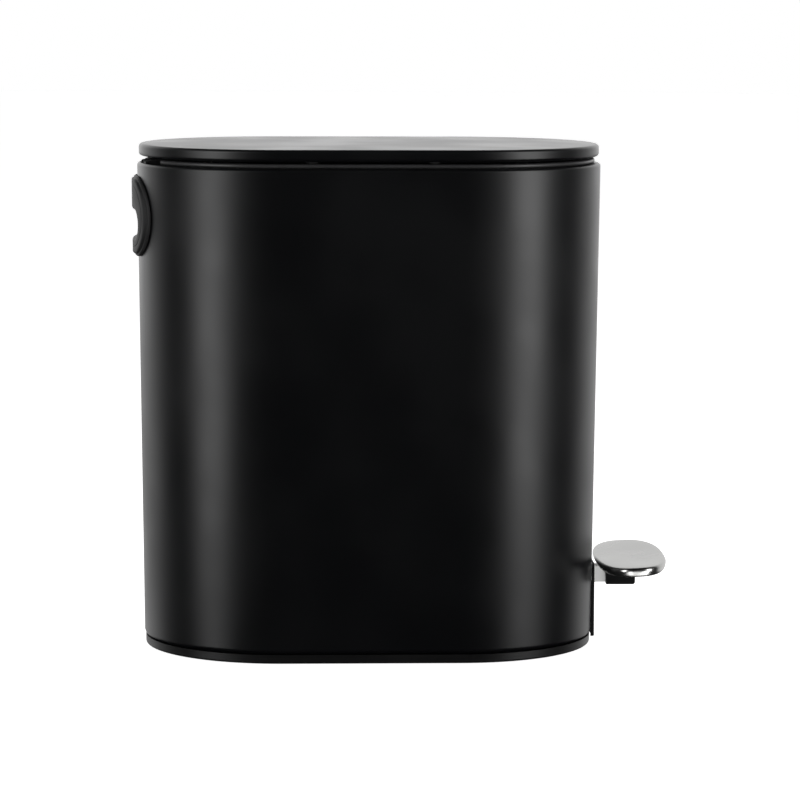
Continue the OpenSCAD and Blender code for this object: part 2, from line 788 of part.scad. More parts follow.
module damper_cap() {
  color("#1a1b1d") translate([0, rod_y, damper_low]) difference() {
    union() {
      translate([0, 0, -1.5]) cylinder(d = damper_d, h = 1.5);
      cylinder(d = damper_bore, h = 4);
    }
    translate([0, 0, -1.5 - cut]) cylinder(r = rod_r + running_fit, h = 5.5 + 2 * cut);
  }
}

module damper_rod() {
  w = lever_w_in - 1.6;
  color("#c9ccd0") translate([0, rod_y, rod_foot_z]) difference() {
    union() {
      pin_x(eye_r, -w / 2, w / 2);
      cylinder(r = rod_r, h = piston_z - rod_foot_z);
    }
    pin_x(rod_r + running_fit, -w, w);
  }
}

module damper_piston() {
  color("#d8d8d4") translate([0, rod_y, piston_z]) difference() {
    cylinder(d = damper_bore - 2 * running_fit, h = piston_h);
    translate([0, 0, piston_h / 2 - 1]) washer_z(damper_bore / 2 - 1.5, damper_bore, 2);
  }
}

module washer_z(inner, outer, h) {
  difference() {
    cylinder(r = outer, h = h);
    translate([0, 0, -cut]) cylinder(r = inner, h = h + 2 * cut);
  }
}

module piston_seal() {
  color("#101010") translate([0, rod_y, piston_z + piston_h / 2 - 0.9])
    washer_z(damper_bore / 2 - 1.5, damper_bore / 2 - running_fit, 1.8);
}

body_shell();
base_tray();
rubber_feet();
inner_bucket();
slot_cover();
rear_handle();
handle_screws();
hinge_block();
hinge_pin();
rod_guides();
damper_bracket();
damper_cylinder();
damper_cap();
pivot_bracket();
bracket_screws();
pivot_pin();
pivot_clips();
pedal_bumper();
lid_shell();
lid_liner();
hinge_arms();
lid_screws();
lid_bumpers();
pedal_pad();
pedal_block();
pedal_lever();
pedal_rivets();
lift_rod();
rod_clips();
damper_rod();
damper_piston();
piston_seal();
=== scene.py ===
import json
import math

import bmesh
import bpy
from mathutils import Matrix, Vector


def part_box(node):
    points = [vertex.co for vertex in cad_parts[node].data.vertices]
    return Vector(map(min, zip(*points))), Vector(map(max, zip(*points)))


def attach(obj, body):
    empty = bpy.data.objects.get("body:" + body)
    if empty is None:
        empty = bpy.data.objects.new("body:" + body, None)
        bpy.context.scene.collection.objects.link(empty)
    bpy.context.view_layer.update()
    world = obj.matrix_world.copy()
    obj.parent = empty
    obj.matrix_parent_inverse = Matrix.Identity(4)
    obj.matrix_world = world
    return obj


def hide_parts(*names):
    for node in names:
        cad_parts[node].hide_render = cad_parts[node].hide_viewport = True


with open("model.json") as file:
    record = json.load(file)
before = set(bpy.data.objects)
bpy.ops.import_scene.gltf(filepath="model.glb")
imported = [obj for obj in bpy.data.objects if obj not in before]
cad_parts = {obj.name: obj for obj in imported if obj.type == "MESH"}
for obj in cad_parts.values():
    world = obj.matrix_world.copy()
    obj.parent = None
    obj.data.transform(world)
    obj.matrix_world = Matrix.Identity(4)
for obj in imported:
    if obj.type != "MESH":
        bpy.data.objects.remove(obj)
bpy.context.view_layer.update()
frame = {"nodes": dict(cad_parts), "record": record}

mm = 0.001
nodes = frame["nodes"]


def spanOf(node):
    low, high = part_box(node)
    return Vector(low), Vector(high)


bodyLow, bodyHigh = spanOf("body_shell")
lidLow, lidHigh = spanOf("lid_shell")
bucketLow, bucketHigh = spanOf("inner_bucket")
halfStraight = bodyHigh.y - bodyHigh.x   # from the middle of the oval to the middle of a round end


# mesh helpers

def smoothShade(piece, sharpDegrees):
    piece.data.shade_smooth()
    piece.data.set_sharp_from_angle(angle=math.radians(sharpDegrees))


def newPiece(name, mesh, body, replaced=(), sharpDegrees=32):
    piece = bpy.data.objects.new(name, mesh)
    bpy.context.scene.collection.objects.link(piece)
    smoothShade(piece, sharpDegrees)
    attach(piece, body)
    if replaced:
        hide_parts(*replaced)
    return piece


# joins rings of equal length with quads; a closed loop joins the last ring to the first, an open one is capped
def meshFromRings(name, rings, closedLoop=False):
    bm = bmesh.new()
    made = [[bm.verts.new(p) for p in ring] for ring in rings]
    count = len(made[0])
    pairs = list(zip(made, made[1:]))
    if closedLoop:
        pairs.append((made[-1], made[0]))
    for a, b in pairs:
        for i in range(count):
            j = (i + 1) % count
            bm.faces.new((a[i], a[j], b[j], b[i]))
    if not closedLoop:
        bm.faces.new(list(reversed(made[0])))
        bm.faces.new(made[-1])
    bmesh.ops.remove_doubles(bm, verts=bm.verts, dist=1e-7)
    bmesh.ops.recalc_face_normals(bm, faces=bm.faces)
    mesh = bpy.data.meshes.new(name)
    bm.to_mesh(mesh)
    bm.free()
    return mesh


def ovalLoop(radius, z, arcSteps=72, straightSteps=10):
    points = []
    for turn in (1, -1):
        for i in range(arcSteps + 1):
            angle = math.pi * i / arcSteps
            points.append(Vector((turn * radius * math.cos(angle),
                                  turn * (halfStraight + radius * math.sin(angle)), z)))
        for i in range(1, straightSteps):
            points.append(Vector((-turn * radius, turn * halfStraight * (1 - 2 * i / straightSteps), z)))
    return points


# carries a closed profile of (radius, height) points round the oval plan
def ovalSweep(name, profile):
    return meshFromRings(name, [ovalLoop(r, z) for r, z in profile], closedLoop=True)


# a solid of oval plan from an open (radius, height) profile, closed flat at both ends
def ovalSolid(name, profile):
    return meshFromRings(name, [ovalLoop(r, z) for r, z in profile])


def arcPoints(centre, radius, fromDegrees, toDegrees, steps=8):
    out = []
    for i in range(steps + 1):
        angle = math.radians(fromDegrees + (toDegrees - fromDegrees) * i / steps)
        out.append((centre[0] + radius * math.cos(angle), centre[1] + radius * math.sin(angle)))
    return out


def prism(name, outline, axis, low, high):
    order = {"x": lambda u, v, w: (w, u, v), "y": lambda u, v, w: (u, w, v),
             "z": lambda u, v, w: (u, v, w)}[axis]
    return meshFromRings(name, [[Vector(order(u, v, w)) for u, v in outline] for w in (low, high)])


def roundedOutline(low, high, radius, steps=8):
    corners = [(high[0] - radius, high[1] - radius), (low[0] + radius, high[1] - radius),
               (low[0] + radius, low[1] + radius), (high[0] - radius, low[1] + radius)]
    out = []
    for turn, centre in enumerate(corners):
        out += arcPoints(centre, radius, 90 * turn, 90 * turn + 90, steps)
    return out


def softenEdges(piece, width, segments=2, limitDegrees=40):
    bevel = piece.modifiers.new("softEdge", "BEVEL")
    bevel.width, bevel.segments, bevel.limit_method = width, segments, "ANGLE"
    bevel.angle_limit = math.radians(limitDegrees)
    bevel.harden_normals = False


# adds or cuts away helper meshes, in order, and keeps the result as the piece's own mesh
def shapeWith(piece, steps, sharpDegrees=32):
    helpers = []
    for operation, mesh in steps:
        helper = bpy.data.objects.new("helper", mesh)
        bpy.context.scene.collection.objects.link(helper)
        modifier = piece.modifiers.new("shape", "BOOLEAN")
        modifier.operation, modifier.solver, modifier.object = operation, "EXACT", helper
        helpers.append(helper)
    bpy.context.view_layer.update()
    shaped = bpy.data.meshes.new_from_object(piece.evaluated_get(bpy.context.evaluated_depsgraph_get()))
    piece.modifiers.clear()
    piece.data = shaped
    for helper in helpers:
        bpy.data.objects.remove(helper)
    smoothShade(piece, sharpDegrees)


# node helpers

def newGroup(name, inputs, outputs):
    group = bpy.data.node_groups.new(name, "ShaderNodeTree")
    for label, kind, value in inputs:
        made = group.interface.new_socket(label, in_out="INPUT", socket_type=kind)
        if value is not None:
            made.default_value = value
    for label, kind in outputs:
        group.interface.new_socket(label, in_out="OUTPUT", socket_type=kind)
    return group, group.nodes.new("NodeGroupInput"), group.nodes.new("NodeGroupOutput")


def addNode(tree, kind, **settings):
    node = tree.nodes.new(kind)
    for key, value in settings.items():
        setattr(node, key, value)
    return node


def mathNode(tree, operation, a, b=None, clamp=False):
    node = addNode(tree, "ShaderNodeMath", operation=operation, use_clamp=clamp)
    for socket, value in zip(node.inputs, (a, b)):
        if isinstance(value, (int, float)):
            socket.default_value = value
        elif value is not None:
            tree.links.new(value, socket)
    return node.outputs[0]


def rampNode(tree, value, low, high, toLow=0.0, toHigh=1.0):
    node = addNode(tree, "ShaderNodeMapRange", interpolation_type="SMOOTHSTEP")
    tree.links.new(value, node.inputs["Value"])
    for label, number in (("From Min", low), ("From Max", high), ("To Min", toLow), ("To Max", toHigh)):
        if isinstance(number, (int, float)):
            node.inputs[label].default_value = number
        else:
            tree.links.new(number, node.inputs[label])
    return node.outputs["Result"]


def noiseNode(tree, vector, scale, detail=2.0, roughness=0.5):
    node = addNode(tree, "ShaderNodeTexNoise")
    tree.links.new(vector, node.inputs["Vector"])
    for label, value in (("Scale", scale), ("Detail", detail), ("Roughness", roughness)):
        if isinstance(value, (int, float)):
            node.inputs[label].default_value = value
        else:
            tree.links.new(value, node.inputs[label])
    return node.outputs["Fac"]


def objectPlace(tree):
    return addNode(tree, "ShaderNodeTexCoord").outputs["Object"]


# surface grain: a fine height field with a slower swell under it; Grain Size is in millimetres
def makeSurfaceGrain():
    group, source, target = newGroup("surfaceGrain", [
        ("Grain Size", "NodeSocketFloat", 1.0), ("Swell Size", "NodeSocketFloat", 12.0),
        ("Swell Share", "NodeSocketFloat", 0.3)],
        [("Height", "NodeSocketFloat"), ("Variation", "NodeSocketFloat")])
    place = objectPlace(group)
    fineScale = mathNode(group, "DIVIDE", 1000.0, source.outputs["Grain Size"])
    swellScale = mathNode(group, "DIVIDE", 1000.0, source.outputs["Swell Size"])
    fine = noiseNode(group, place, fineScale, detail=3.0, roughness=0.55)
    swell = noiseNode(group, place, swellScale, detail=2.0)
    mixed = mathNode(group, "MULTIPLY", swell, source.outputs["Swell Share"])
    group.links.new(mathNode(group, "ADD", fine, mixed), target.inputs["Height"])
    group.links.new(swell, target.inputs["Variation"])
    return group


# edge wear: 1 along outward edges, broken up by noise
def makeEdgeWear():
    group, source, target = newGroup("edgeWear", [
        ("Amount", "NodeSocketFloat", 0.5), ("Break Up", "NodeSocketFloat", 0.5)],
        [("Mask", "NodeSocketFloat")])
    geometry = addNode(group, "ShaderNodeNewGeometry")
    patches = noiseNode(group, objectPlace(group), 180.0, detail=4.0)
    edge = rampNode(group, geometry.outputs["Pointiness"], 0.505, 0.56)
    broken = mathNode(group, "SUBTRACT", 1.0, mathNode(group, "MULTIPLY", patches,
                                                       source.outputs["Break Up"]))
    worn = mathNode(group, "MULTIPLY", edge, broken)
    mask = mathNode(group, "MULTIPLY", worn, source.outputs["Amount"], True)
    group.links.new(mask, target.inputs["Mask"])
    return group


# thin dust that settles where the surface faces up
def makeDustFilm():
    group, source, target = newGroup("dustFilm", [
        ("Amount", "NodeSocketFloat", 0.3), ("Patch Size", "NodeSocketFloat", 30.0)],
        [("Mask", "NodeSocketFloat")])
    geometry = addNode(group, "ShaderNodeNewGeometry")
    split = addNode(group, "ShaderNodeSeparateXYZ")
    group.links.new(geometry.outputs["Normal"], split.inputs[0])
    up = rampNode(group, split.outputs["Z"], 0.2, 1.0)
    patchScale = mathNode(group, "DIVIDE", 1000.0, source.outputs["Patch Size"])
    patchNoise = noiseNode(group, objectPlace(group), patchScale, detail=5.0, roughness=0.6)
    patches = rampNode(group, patchNoise, 0.35, 0.75)
    settled = mathNode(group, "MULTIPLY", up, patches)
    mask = mathNode(group, "MULTIPLY", settled, source.outputs["Amount"], True)
    group.links.new(mask, target.inputs["Mask"])
    return group


# brushed lines that run along one axis; Stretch is how much longer than wide they are
def makeBrushLines():
    group, source, target = newGroup("brushLines", [
        ("Line Size", "NodeSocketFloat", 0.25), ("Stretch", "NodeSocketVector", (1.0, 40.0, 40.0))],
        [("Height", "NodeSocketFloat"), ("Streak", "NodeSocketFloat")])
    stretched = addNode(group, "ShaderNodeVectorMath", operation="MULTIPLY")
    group.links.new(objectPlace(group), stretched.inputs[0])
    group.links.new(source.outputs["Stretch"], stretched.inputs[1])
    lineScale = mathNode(group, "DIVIDE", 25.0, source.outputs["Line Size"])
    lines = noiseNode(group, stretched.outputs[0], lineScale, detail=3.0, roughness=0.6)
    streak = noiseNode(group, stretched.outputs[0], mathNode(group, "MULTIPLY", lineScale, 0.22), detail=2.0)
    group.links.new(lines, target.inputs["Height"])
    group.links.new(streak, target.inputs["Streak"])
    return group


surfaceGrain = makeSurfaceGrain()
edgeWear = makeEdgeWear()
dustFilm = makeDustFilm()
brushLines = makeBrushLines()


def placeGroup(tree, group, **values):
    node = addNode(tree, "ShaderNodeGroup", node_tree=group)
    for label, value in values.items():
        node.inputs[label].default_value = value
    return node


def mixColour(tree, share, a, b):
    node = addNode(tree, "ShaderNodeMix", data_type="RGBA")
    tree.links.new(share, node.inputs["Factor"])
    for label, value in (("A", a), ("B", b)):
        socket = next(s for s in node.inputs if s.name == label and s.type == "RGBA")
        if isinstance(value, (tuple, list)):
            socket.default_value = (*value, 1.0)
        else:
            tree.links.new(value, socket)
    return next(s for s in node.outputs if s.type == "RGBA")


# one finish from its dictionary: tone, gloss, grain, wear and dust
def makeFinish(name, finish):
    material = bpy.data.materials.new(name)
    material.use_nodes = True
    tree = material.node_tree
    shader = tree.nodes["Principled BSDF"]
    grain = placeGroup(tree, surfaceGrain, **{
        "Grain Size": finish["grainSize"], "Swell Size": finish["swellSize"],
        "Swell Share": finish["swellShare"]})
    wear = placeGroup(tree, edgeWear, **{"Amount": finish["wear"], "Break Up": 0.6})
    dust = placeGroup(tree, dustFilm, **{"Amount": finish["dust"], "Patch Size": 35.0})
    tone = mixColour(tree, grain.outputs["Variation"], finish["colour"], finish["otherColour"])
    height = grain.outputs["Height"]
    rough = rampNode(tree, grain.outputs["Variation"], 0.3, 0.7,
                     finish["roughness"] - finish["roughSpread"], finish["roughness"] + finish["roughSpread"])
    if "lineSize" in finish:
        lines = placeGroup(tree, brushLines, **{"Line Size": finish["lineSize"],
                                                "Stretch": finish["lineStretch"]})
        height = mathNode(tree, "ADD", mathNode(tree, "MULTIPLY", height, 0.3), lines.outputs["Height"])
        streak = rampNode(tree, lines.outputs["Streak"], 0.3, 0.7, -finish["lineGloss"], finish["lineGloss"])
        rough = mathNode(tree, "ADD", rough, streak, True)
        toneShare = rampNode(tree, lines.outputs["Streak"], 0.3, 0.7, 0.0, 0.35)
        tone = mixColour(tree, toneShare, tone, finish["otherColour"])
    tone = mixColour(tree, wear.outputs["Mask"], tone, finish["wearColour"])
    tone = mixColour(tree, dust.outputs["Mask"], tone, dustColour)
    rough = mathNode(tree, "ADD", rough, mathNode(tree, "MULTIPLY", dust.outputs["Mask"], 0.5), True)
    tree.links.new(tone, shader.inputs["Base Color"])
    tree.links.new(rough, shader.inputs["Roughness"])
    bump = addNode(tree, "ShaderNodeBump")
    bump.inputs["Strength"].default_value = finish["bump"]
    bump.inputs["Distance"].default_value = finish["bumpDepth"] * mm
    tree.links.new(height, bump.inputs["Height"])
    tree.links.new(bump.outputs["Normal"], shader.inputs["Normal"])
    shader.inputs["Metallic"].default_value = finish["metal"]
    shader.inputs["Specular IOR Level"].default_value = finish["specular"]
    shader.inputs["IOR"].default_value = 1.5
    if finish.get("coat"):
        shader.inputs["Coat Weight"].default_value = finish["coat"]
        shader.inputs["Coat Roughness"].default_value = finish["coatRoughness"]
    return material


dustColour = (0.32, 0.31, 0.30)
plainFinish = {"grainSize": 0.6, "swellSize": 18.0, "swellShare": 0.4, "wear": 0.0, "dust": 0.0, "bump": 0.25,
               "bumpDepth": 0.05, "metal": 0.0, "specular": 0.5, "roughSpread": 0.03, "wearColour": (0.3,
                                                                                                     0.3,
                                                                                                     0.3)}
finishes = {
    "blackPaint": {"colour": (0.0005, 0.0006, 0.0010), "otherColour": (0.0008, 0.0009, 0.0014),
                   "roughness": 0.40,
                   "grainSize": 0.9, "swellSize": 60.0, "swellShare": 1.2, "bump": 0.10, "bumpDepth": 0.06,
                   "wear": 0.10, "wearColour": (0.03, 0.03, 0.031), "dust": 0.010},
    "basePlastic": {"colour": (0.0012, 0.0012, 0.0014), "otherColour": (0.0022, 0.0022, 0.0024),
                    "roughness": 0.43,
                    "grainSize": 0.35, "bump": 0.4, "wear": 0.15, "wearColour": (0.02, 0.02, 0.021),
                    "specular": 0.3},
    "blackPlastic": {"colour": (0.0022, 0.0022, 0.0024), "otherColour": (0.0036, 0.0036, 0.0038),
                     "roughness": 0.50,
                     "grainSize": 0.35, "bump": 0.35, "wear": 0.2, "wearColour": (0.02, 0.02, 0.021),
                     "specular": 0.3},
    "handlePlastic": {"colour": (0.0060, 0.0060, 0.0064), "otherColour": (0.0095, 0.0095, 0.0100),
                      "roughness": 0.58,
                      "grainSize": 0.45, "bump": 0.7, "bumpDepth": 0.08, "wear": 0.3,
                      "wearColour": (0.03, 0.03, 0.03), "dust": 0.01, "specular": 0.32},
    "bucketPlastic": {"colour": (0.018, 0.018, 0.019), "otherColour": (0.026, 0.026, 0.027),
                      "roughness": 0.42,
                      "grainSize": 0.5, "bump": 0.25, "wear": 0.3, "wearColour": (0.06, 0.06, 0.061)},
    "rubber": {"colour": (0.014, 0.014, 0.014), "otherColour": (0.022, 0.022, 0.022), "roughness": 0.75,
               "grainSize": 0.3, "bump": 0.5, "wear": 0.3, "wearColour": (0.05, 0.05, 0.05)},
    "padSteel": {"colour": (0.50, 0.498, 0.487), "otherColour": (0.465, 0.463, 0.452), "roughness": 0.27,
                 "metal": 1.0,
                 "roughSpread": 0.02, "grainSize": 0.35, "swellSize": 45.0, "swellShare": 0.1, "bump": 0.10,
                 "bumpDepth": 0.02, "wear": 0.15, "wearColour": (0.7, 0.7, 0.69)},
    "zincSteel": {"colour": (0.48, 0.49, 0.50), "otherColour": (0.38, 0.385, 0.39), "roughness": 0.36,
                  "metal": 1.0,
                  "roughSpread": 0.08, "grainSize": 1.2, "swellSize": 6.0, "bump": 0.2, "bumpDepth": 0.03,
                  "wear": 0.3, "wearColour": (0.65, 0.65, 0.66)},
    "leverSteel": {"colour": (0.80, 0.80, 0.79), "otherColour": (0.70, 0.70, 0.69), "roughness": 0.45,
                   "metal": 0.3,
                   "roughSpread": 0.06, "grainSize": 0.8, "bump": 0.15, "bumpDepth": 0.03, "lineSize": 0.5,
                   "lineStretch": (30.0, 1.0, 30.0), "lineGloss": 0.06, "wear": 0.3, "wearColour": (0.7,
                                                                                                    0.7,
                                                                                                    0.7)},
    "clipSteel": {"colour": (0.16, 0.16, 0.165), "otherColour": (0.11, 0.11, 0.115), "roughness": 0.4,
                  "metal": 1.0,
                  "roughSpread": 0.08, "wear": 0.5, "wearColour": (0.4, 0.4, 0.4)},
    "damperTube": {"colour": (0.045, 0.047, 0.050), "otherColour": (0.055, 0.057, 0.060), "roughness": 0.28,
                   "grainSize": 0.8, "bump": 0.08, "coat": 0.3, "coatRoughness": 0.15},
    "damperRodSteel": {"colour": (0.66, 0.67, 0.68), "otherColour": (0.58, 0.59, 0.60), "roughness": 0.16,
                       "metal": 1.0, "bump": 0.05, "bumpDepth": 0.01},
    "pistonPlastic": {"colour": (0.62, 0.62, 0.57), "otherColour": (0.70, 0.70, 0.66), "roughness": 0.45,
                      "bump": 0.15},
}
materials = {name: makeFinish(name, {**plainFinish, **finish}) for name, finish in finishes.items()}
print("finishes:", len(materials))


def dress(piece, finishName):
    piece.data.materials.clear()
    piece.data.materials.append(materials[finishName])


nodeFinishes = {"black_paint": "blackPaint", "base_plastic": "basePlastic", "rubber": "rubber",
                "bucket_plastic": "bucketPlastic", "black_plastic": "blackPlastic",
                "handle_plastic": "handlePlastic",
                "zinc_steel": "zincSteel", "clip_steel": "clipSteel", "pad_steel": "padSteel",
                "lever_steel": "leverSteel", "damper_tube": "damperTube",
                "damper_rod_steel": "damperRodSteel",
                "piston_plastic": "pistonPlastic"}
for part in frame["record"]["subparts"]:
    cadNode = nodes[part["node"]]
    for slotIndex in range(len(cadNode.material_slots)):
        cadNode.material_slots[slotIndex].material = materials[nodeFinishes[part["material_slot"]]]

# moulded and cut edges of the pieces that keep their CAD mesh
edgeRounds = {"pedal_block": 0.45 * mm, "hinge_block": 0.4 * mm, "hinge_arms": 0.25 * mm,
              "base_tray": 0.3 * mm,
              "lid_liner": 0.25 * mm, "rubber_feet": 0.25 * mm, "pivot_bracket": 0.2 * mm}
for nodeName, width in edgeRounds.items():
    softenEdges(nodes[nodeName], width)

# steel body; the slot and pocket match the openings in the CAD body

body = {"flare": 3.5 * mm, "sheet": 0.8 * mm, "topRoll": 1.8 * mm, "hem": 6 * mm, "lowRoll": 3 * mm,
        "slotWidth": 13 * mm, "slotLow": 1 * mm, "slotTop": 47 * mm, "pocketWidth": 52 * mm,
        "pocketHeight": 20.5 * mm,
        "pocketMiddle": 248.6 * mm, "hingeGap": 37 * mm, "hingeGapDrop": 1.6 * mm, "slotCorner": 0.8 * mm}
topRadius = bodyHigh.x
lowRadius = topRadius - body["flare"]


def bodyRadius(z):
    return lowRadius + body["flare"] * (z - bodyLow.z) / (bodyHigh.z - bodyLow.z)


def shellProfile():
    sheet, roll, low = body["sheet"], body["topRoll"], body["lowRoll"]
    lowCentre = (lowRadius - low, bodyLow.z + low)
    topCentre = (topRadius - roll, bodyHigh.z - roll)
    hemRadius = topRadius - body["hem"]
    outside = arcPoints(lowCentre, low, -90, 0, 10) + arcPoints(topCentre, roll, 0, 90, 10)
    hem = arcPoints((hemRadius + sheet / 2, bodyHigh.z - sheet / 2), sheet / 2, 90, 270, 6)
    inside = arcPoints(topCentre, roll - sheet, 90, 0, 8) + arcPoints(lowCentre, low - sheet, 0, -90, 8)
    lip = arcPoints((lowRadius - low, bodyLow.z + sheet / 2), sheet / 2, 90, 270, 6)[1:-1]
    return outside + hem + inside + lip


def roundBar(name, width, height, middle, near, far):
    half = (width - height) / 2
    outline = (arcPoints((half, middle), height / 2, -90, 90, 16)
               + arcPoints((-half, middle), height / 2, 90, 270, 16))
    return prism(name, outline, "y", near, far)


def hingeGapOutline():
    reach, radius = body["hingeGap"], topRadius - body["topRoll"]
    outline = []
    for i in range(25):
        x = -reach + 2 * reach * i / 24
        outline.append((x, halfStraight + math.sqrt(radius ** 2 - x ** 2)))
    return outline + [(reach, halfStraight + 40 * mm), (-reach, halfStraight + 40 * mm)]


slotBox = prism("slotBox", roundedOutline((-body["slotWidth"] / 2, bodyLow.z + body["slotLow"]),
                                          (body["slotWidth"] / 2, body["slotTop"]), body["slotCorner"]),
                "y", bodyLow.y - 5 * mm, bodyLow.y + 14 * mm)
bodyShell = newPiece("bodyShell", ovalSweep("bodyShell", shellProfile()), "bin", ["body_shell"])
shapeWith(bodyShell, [
    ("DIFFERENCE", slotBox),
    ("DIFFERENCE", roundBar("pocketHole", body["pocketWidth"], body["pocketHeight"], body["pocketMiddle"],
                            bodyHigh.y - 30 * mm, bodyHigh.y + 5 * mm)),
    ("DIFFERENCE", prism("hingeGap", hingeGapOutline(), "z", bodyHigh.z - body["hingeGapDrop"],
                         bodyHigh.z + 2 * mm))])
dress(bodyShell, "blackPaint")
print("body", len(bodyShell.data.polygons))

# lid

lid = {"edge": 2 * mm, "sheet": 0.8 * mm, "hem": 5 * mm,
       "flatShare": 0.6}   # where the flat top's face begins


def lidProfile():
    edge, sheet, radius = lid["edge"], lid["sheet"], lidHigh.x
    lowCentre, topCentre = (radius - edge, lidLow.z + edge), (radius - edge, lidHigh.z - edge)
    hemEnd = radius - lid["hem"]
    lip = arcPoints((hemEnd + sheet / 2, lidLow.z + sheet / 2), sheet / 2, 90, 270, 6)
    return ([(radius * lid["flatShare"], lidHigh.z - sheet)] + arcPoints(topCentre, edge - sheet, 90, 0, 8)
            + arcPoints(lowCentre, edge - sheet, 0, -90, 8) + lip + arcPoints(lowCentre, edge, -90, 0, 12)
            + arcPoints(topCentre, edge, 0, 90, 12) + [(radius * lid["flatShare"], lidHigh.z)])


lidShell = newPiece("lidShell", ovalSolid("lidShell", lidProfile()), "lid", ["lid_shell"])
dress(lidShell, "blackPaint")
print("lid", len(lidShell.data.polygons))

# bucket

bucket = {"wall": 1.5 * mm, "rim": 2.7 * mm, "wallInset": 7 * mm, "lowInset": 12.5 * mm, "floorEdge": 5 * mm,
          "recessHalf": 37 * mm, "recessFront": 93.5 * mm, "recessCorner": 5 * mm, "rimOut": 3 * mm,
          "rimEnd": 121 * mm,
          "rimEndHalf": 44 * mm}


def bucketForm(name, inset, top):
    wallTop, wallLow = topRadius - bucket["wallInset"] - inset, topRadius - bucket["lowInset"] - inset
    low = bucketLow.z + inset
    edge = bucket["floorEdge"] - inset
    slope = (wallTop - wallLow) / (bucketHigh.z - bucketLow.z)
    profile = arcPoints((wallLow - edge, low + edge), edge, -90, 0, 8)
    return ovalSolid(name, profile + [(wallLow + slope * (top - bucketLow.z), top)])


def recessBox(name, inset, low, high):
    half, front, corner = bucket["recessHalf"] + inset, bucket["recessFront"] - inset, bucket["recessCorner"]
    return prism(name, roundedOutline((-half, front), (half, bodyHigh.y + 20 * mm), corner), "z", low, high)


def makeBucket():
    rimTop = bucketHigh.z
    bead = bucket["rim"] / 2
    rimRadius = bucketHigh.x
    piece = newPiece("innerBucket", bucketForm("innerBucket", 0, rimTop - bead), "bin", ["inner_bucket"])
    rimProfile = arcPoints((rimRadius - bead, rimTop - bead), bead, -90, 90, 12)
    endHalf = bucket["rimEndHalf"]
    rimEnds = roundedOutline((-endHalf, bucket["rimEnd"]), (endHalf, 160 * mm), 1 * mm)
    rim = newPiece("bucketRim", ovalSolid("bucketRim", rimProfile), "bin")
    shapeWith(rim, [("DIFFERENCE", recessBox("rimRecess", -bucket["rimOut"], rimTop - 8 * mm,
                                             rimTop + 4 * mm)),
                    ("DIFFERENCE", prism("rimEnds", rimEnds, "z", rimTop - 8 * mm, rimTop + 4 * mm))])
    shapeWith(piece, [("DIFFERENCE", recessBox("recess", 0, bucketLow.z - 5 * mm, rimTop + 4 * mm))])
    hollow = newPiece("hollow", bucketForm("hollow", bucket["wall"], rimTop + 3 * mm), "bin")
    shapeWith(hollow, [("DIFFERENCE", recessBox("recessWall", bucket["wall"], bucketLow.z - 5 * mm,
                                                rimTop + 8 * mm))])
    rimMesh, hollowMesh = rim.data, hollow.data
    bpy.data.objects.remove(rim)
    bpy.data.objects.remove(hollow)
    shapeWith(piece, [("UNION", rimMesh), ("DIFFERENCE", hollowMesh)])
    return piece


innerBucket = makeBucket()
dress(innerBucket, "bucketPlastic")
print("bucket", len(innerBucket.data.polygons))

# carry handle

handle = {"width": 75 * mm, "height": 46.6 * mm, "middle": 253 * mm, "rim": 2 * mm, "face": 3.4 * mm,
          "border": 1.5 * mm, "groove": 5.5 * mm,
          "pocketWidth": 48 * mm, "pocketHeight": 16.5 * mm, "pocketMiddle": 248.6 * mm,
          "pocketDepth": 15 * mm,
          "wall": 1.5 * mm}


# points round a bar with round ends, in x and z, shrunk by an inset
def barLoop(width, height, middle, inset=0.0, arcSteps=36, straightSteps=16):
    radius, half = height / 2 - inset, (width - height) / 2
    points = []
    for side in (1, -1):
        points += [(side * x, middle + side * (z - middle))
                   for x, z in arcPoints((half, middle), radius, -90, 90, arcSteps)]
        points += [(side * half * (1 - 2 * i / straightSteps), middle + side * radius)
                   for i in range(1, straightSteps)]
    return points


def onBody(x, z, out):
    return Vector((x, halfStraight + math.sqrt((bodyRadius(z) + out) ** 2 - x * x), z))


